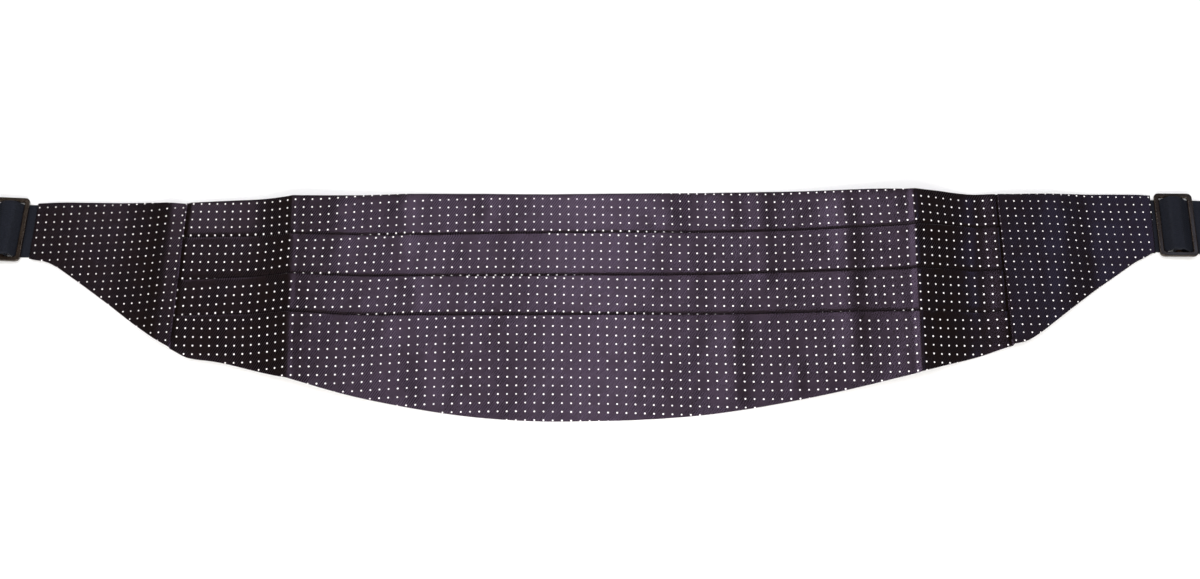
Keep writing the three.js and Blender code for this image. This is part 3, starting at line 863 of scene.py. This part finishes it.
def satin_material(name, dot_radius, faintest_dot):
    """Dark plum twill with woven white pin dots. The pattern map counts dot pitches."""
    made, nodes, links = material(name)
    shader = nodes["Principled BSDF"]
    u, v = cloth_map(nodes, links)

    def maths(operation, *values):
        return math_node(nodes, links, operation, *values)

    column, row = maths("ROUND", u), maths("ROUND", v)
    from_column, from_row = maths("SUBTRACT", u, column), maths("SUBTRACT", v, row)
    squares = [maths("MULTIPLY", offset, offset) for offset in (from_column, from_row)]
    distance = maths("SQRT", maths("ADD", *squares))
    cell = nodes.new("ShaderNodeCombineXYZ")
    links.new(column, cell.inputs["X"])
    links.new(row, cell.inputs["Y"])
    per_dot = nodes.new("ShaderNodeTexWhiteNoise")
    per_dot.noise_dimensions = "2D"
    links.new(cell.outputs[0], per_dot.inputs["Vector"])
    dot_size = ramp(nodes, links, per_dot.outputs["Value"], 0, 1, 0.95, 1.06)
    # Each dot's thread is lit at random between faintest_dot and full white. That spread is the
    # dots' own, but a low faintest_dot also paints shade on the dots.
    dot_light = ramp(nodes, links, per_dot.outputs["Value"], 0, 1, faintest_dot, 1)
    radius = dot_radius / DOT_PITCH
    dot = ramp(nodes, links, maths("DIVIDE", distance, dot_size), radius * 1.25, radius * 0.75)
    lines = maths(
        "SUBTRACT", maths("MULTIPLY", u, 2 * math.pi * TWILL_ALONG),
        maths("MULTIPLY", v, 2 * math.pi * TWILL_UP),
    )
    twill = maths("SINE", lines)

    places = nodes.new("ShaderNodeNewGeometry").outputs["Position"]
    patches = noise(nodes, links, places, 110, 3)
    fibres = noise(nodes, links, places, 1400, 2)
    dark = mix_colours(
        nodes, links, ramp(nodes, links, patches, 0.35, 0.65), GROUND_BROWN, GROUND_PLUM,
    )
    shade = ramp(nodes, links, twill, -1, 1, 0.55, 1.45)
    grain = ramp(nodes, links, fibres, 0.3, 0.7, 0.8, 1.2)
    ground = scaled_colour(nodes, links, dark, maths("MULTIPLY", shade, grain))
    thread = scaled_colour(nodes, links, DOT_THREAD, dot_light)
    links.new(mix_colours(nodes, links, dot, ground, thread), shader.inputs["Base Color"])

    rough = ramp(nodes, links, patches, 0.35, 0.65, 0.308, 0.28)
    rough = maths("SUBTRACT", rough, maths("MULTIPLY", twill, 0.028))
    links.new(rough, shader.inputs["Roughness"])
    shader.inputs["Specular IOR Level"].default_value = 0.62
    shader.inputs["Specular Tint"].default_value = (0.88, 0.66, 1, 1)
    shader.inputs["Sheen Weight"].default_value = 0.015
    shader.inputs["Sheen Roughness"].default_value = 0.4
    shader.inputs["Sheen Tint"].default_value = (0.75, 0.62, 0.85, 1)
    relief = maths("ADD", maths("MULTIPLY", twill, 0.12), maths("MULTIPLY", dot, 1.2))
    relief = maths("ADD", relief, maths("MULTIPLY", fibres, 0.5))
    add_bump(nodes, links, shader, relief, 0.35, 0.1)
    return made


def webbing_material():
    """Near-black woven tape. The pattern map is in millimetres along and across it."""
    made, nodes, links = material("black_webbing")
    shader = nodes["Principled BSDF"]

    def wave(along, spacing):
        turns = math_node(nodes, links, "MULTIPLY", along, 2 * math.pi / spacing)
        return math_node(nodes, links, "SINE", turns)

    lengthwise, crosswise = cloth_map(nodes, links)
    weave = math_node(
        nodes, links, "MULTIPLY", wave(lengthwise, WEFT_SPACING), wave(crosswise, RIB_SPACING),
    )
    places = nodes.new("ShaderNodeNewGeometry").outputs["Position"]
    fibres = noise(nodes, links, places, 1100, 3)
    worn = noise(nodes, links, places, 60, 2)
    colour = mix_colours(nodes, links, worn, (0.0045, 0.0055, 0.0095), (0.0075, 0.009, 0.015))
    light = math_node(
        nodes, links, "MULTIPLY",
        ramp(nodes, links, weave, -1, 1, 0.7, 1.3), ramp(nodes, links, fibres, 0.3, 0.7, 0.8, 1.2),
    )
    links.new(scaled_colour(nodes, links, colour, light), shader.inputs["Base Color"])
    shader.inputs["Roughness"].default_value = 0.8
    shader.inputs["Specular IOR Level"].default_value = 0.3
    add_bump(nodes, links, shader, math_node(nodes, links, "ADD", weave, fibres), 0.5, 0.12)
    return made


def gloss_material():
    """Glossy brown-black moulding with faint wear."""
    made, nodes, links = material("glossy_brown_black")
    shader = nodes["Principled BSDF"]
    places = nodes.new("ShaderNodeNewGeometry").outputs["Position"]
    streaks = noise(nodes, links, places, 180, 4)
    colour = mix_colours(nodes, links, streaks, (0.005, 0.003, 0.0022), (0.012, 0.007, 0.005))
    links.new(colour, shader.inputs["Base Color"])
    links.new(ramp(nodes, links, streaks, 0.3, 0.7, 0.16, 0.3), shader.inputs["Roughness"])
    shader.inputs["Specular IOR Level"].default_value = 0.6
    shader.inputs["Specular Tint"].default_value = (1, 0.85, 0.68, 1)
    shader.inputs["Coat Weight"].default_value = 0.3
    shader.inputs["Coat Roughness"].default_value = 0.1
    add_bump(nodes, links, shader, noise(nodes, links, places, 420, 3), 0.12, 0.1)
    return made


def finish_with(piece, made):
    piece.data.materials.clear()
    piece.data.materials.append(made)


# Assembly

satin = satin_material("pin_dot_satin", DOT_RADIUS, 0.88)
# The end panels' copy has its dots painted fainter, as painted shade for the light falling off
# towards the ends.
panel_satin_painted_shade = satin_material("pin_dot_satin_ends", PANEL_DOT_RADIUS, 0.65)
webbing = webbing_material()
gloss = gloss_material()

front, front_depth = pleated_front()
finish_with(front, satin)
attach(front, "root")
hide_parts("pleated_front")

for side_name in ENDS:
    panel, panel_area = end_panel(side_name)
    finish_with(panel, panel_satin_painted_shade)
    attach(panel, "root")
    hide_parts(f"end_panel_{side_name}")
    tape, tape_length = strap(side_name)
    finish_with(tape, webbing)
    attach(tape, "root")
    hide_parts(f"strap_{side_name}")
    buckle = slide(side_name)
    finish_with(buckle, gloss)
    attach(buckle, "root")
    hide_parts(f"slide_{side_name}")

for node in ("clasp_hook", "clasp_eye"):
    finish_with(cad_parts[node], gloss)

# Floor, light and camera

def floor():
    size = 6000
    corners = [(-size, -size, 0), (size, -size, 0), (size, size, 0), (-size, size, 0)]
    plane = add_mesh("floor", corners, [(0, 1, 2, 3)])
    plane.location.z = -0.05 * MM
    made, nodes, links = material("white_floor")
    nodes["Principled BSDF"].inputs["Base Color"].default_value = (0.95, 0.95, 0.95, 1)
    nodes["Principled BSDF"].inputs["Roughness"].default_value = 0.9
    finish_with(plane, made)


# Lights. The overhead one is mirrored by the cloth into the camera along its middle, and the
# two side ones, left and right, faintly near its ends. The ceiling is soft light from all over.
SOFTBOXES = (
    {"name": "overhead", "at": (-4, 330, 741), "size": (70, 620), "power": 1.02,
     "colour": (0.97, 0.94, 1)},
    {"name": "side_left", "at": (-440, 500, 741), "size": (160, 160), "power": 0.23,
     "colour": (1, 0.96, 0.95)},
    {"name": "side_right", "at": (590, 380, 741), "size": (120, 300), "power": 0.16,
     "colour": (0.55, 0.68, 1)},
    {"name": "near", "at": (0, -560, 460), "size": (460, 260), "power": 4.6,
     "colour": (1, 0.98, 0.95)},
    {"name": "window", "at": (0, -1500, 1350), "size": (2200, 900), "power": 16,
     "colour": (1, 0.98, 0.95)},
    {"name": "ceiling", "at": (0, 300, 1700), "size": (3400, 3000), "power": 48,
     "colour": (1, 1, 1), "diffuse_only": True},
)


def softbox(name, at, size, power, colour, diffuse_only=False):
    lamp = bpy.data.lights.new(name, "AREA")
    lamp.shape = "RECTANGLE"
    lamp.size, lamp.size_y = size[0] * MM, size[1] * MM
    lamp.energy = power
    lamp.color = colour
    light = bpy.data.objects.new(name, lamp)
    light.location = Vector(at) * MM
    light.rotation_mode = "QUATERNION"
    light.rotation_quaternion = (-Vector(at)).to_track_quat("-Z", "Y")
    light.visible_glossy = not diffuse_only
    bpy.context.scene.collection.objects.link(light)


floor()
for row in SOFTBOXES:
    softbox(**row)
world = bpy.data.worlds.new("studio")
bpy.context.scene.world = world
world.use_nodes = True
world.node_tree.nodes["Background"].inputs["Color"].default_value = (1, 1, 1, 1)
world.node_tree.nodes["Background"].inputs["Strength"].default_value = 0.05
bpy.context.scene.view_settings.view_transform = "Standard"

lens = bpy.data.cameras.new("photo_view")
lens.lens = VIEW_LENS
lens.sensor_width = 36
lens.sensor_fit = "HORIZONTAL"
lens.clip_start = 0.01
lens.clip_end = 50
camera = bpy.data.objects.new("photo_view", lens)
back = Vector((0, -math.cos(VIEW_ELEVATION), math.sin(VIEW_ELEVATION)))
camera.location = (VIEW_TARGET + back * VIEW_DISTANCE) * MM
camera.rotation_euler = Euler((math.pi / 2 - VIEW_ELEVATION, 0, 0))
bpy.context.scene.collection.objects.link(camera)
bpy.context.scene.camera = camera

bpy.context.view_layer.update()
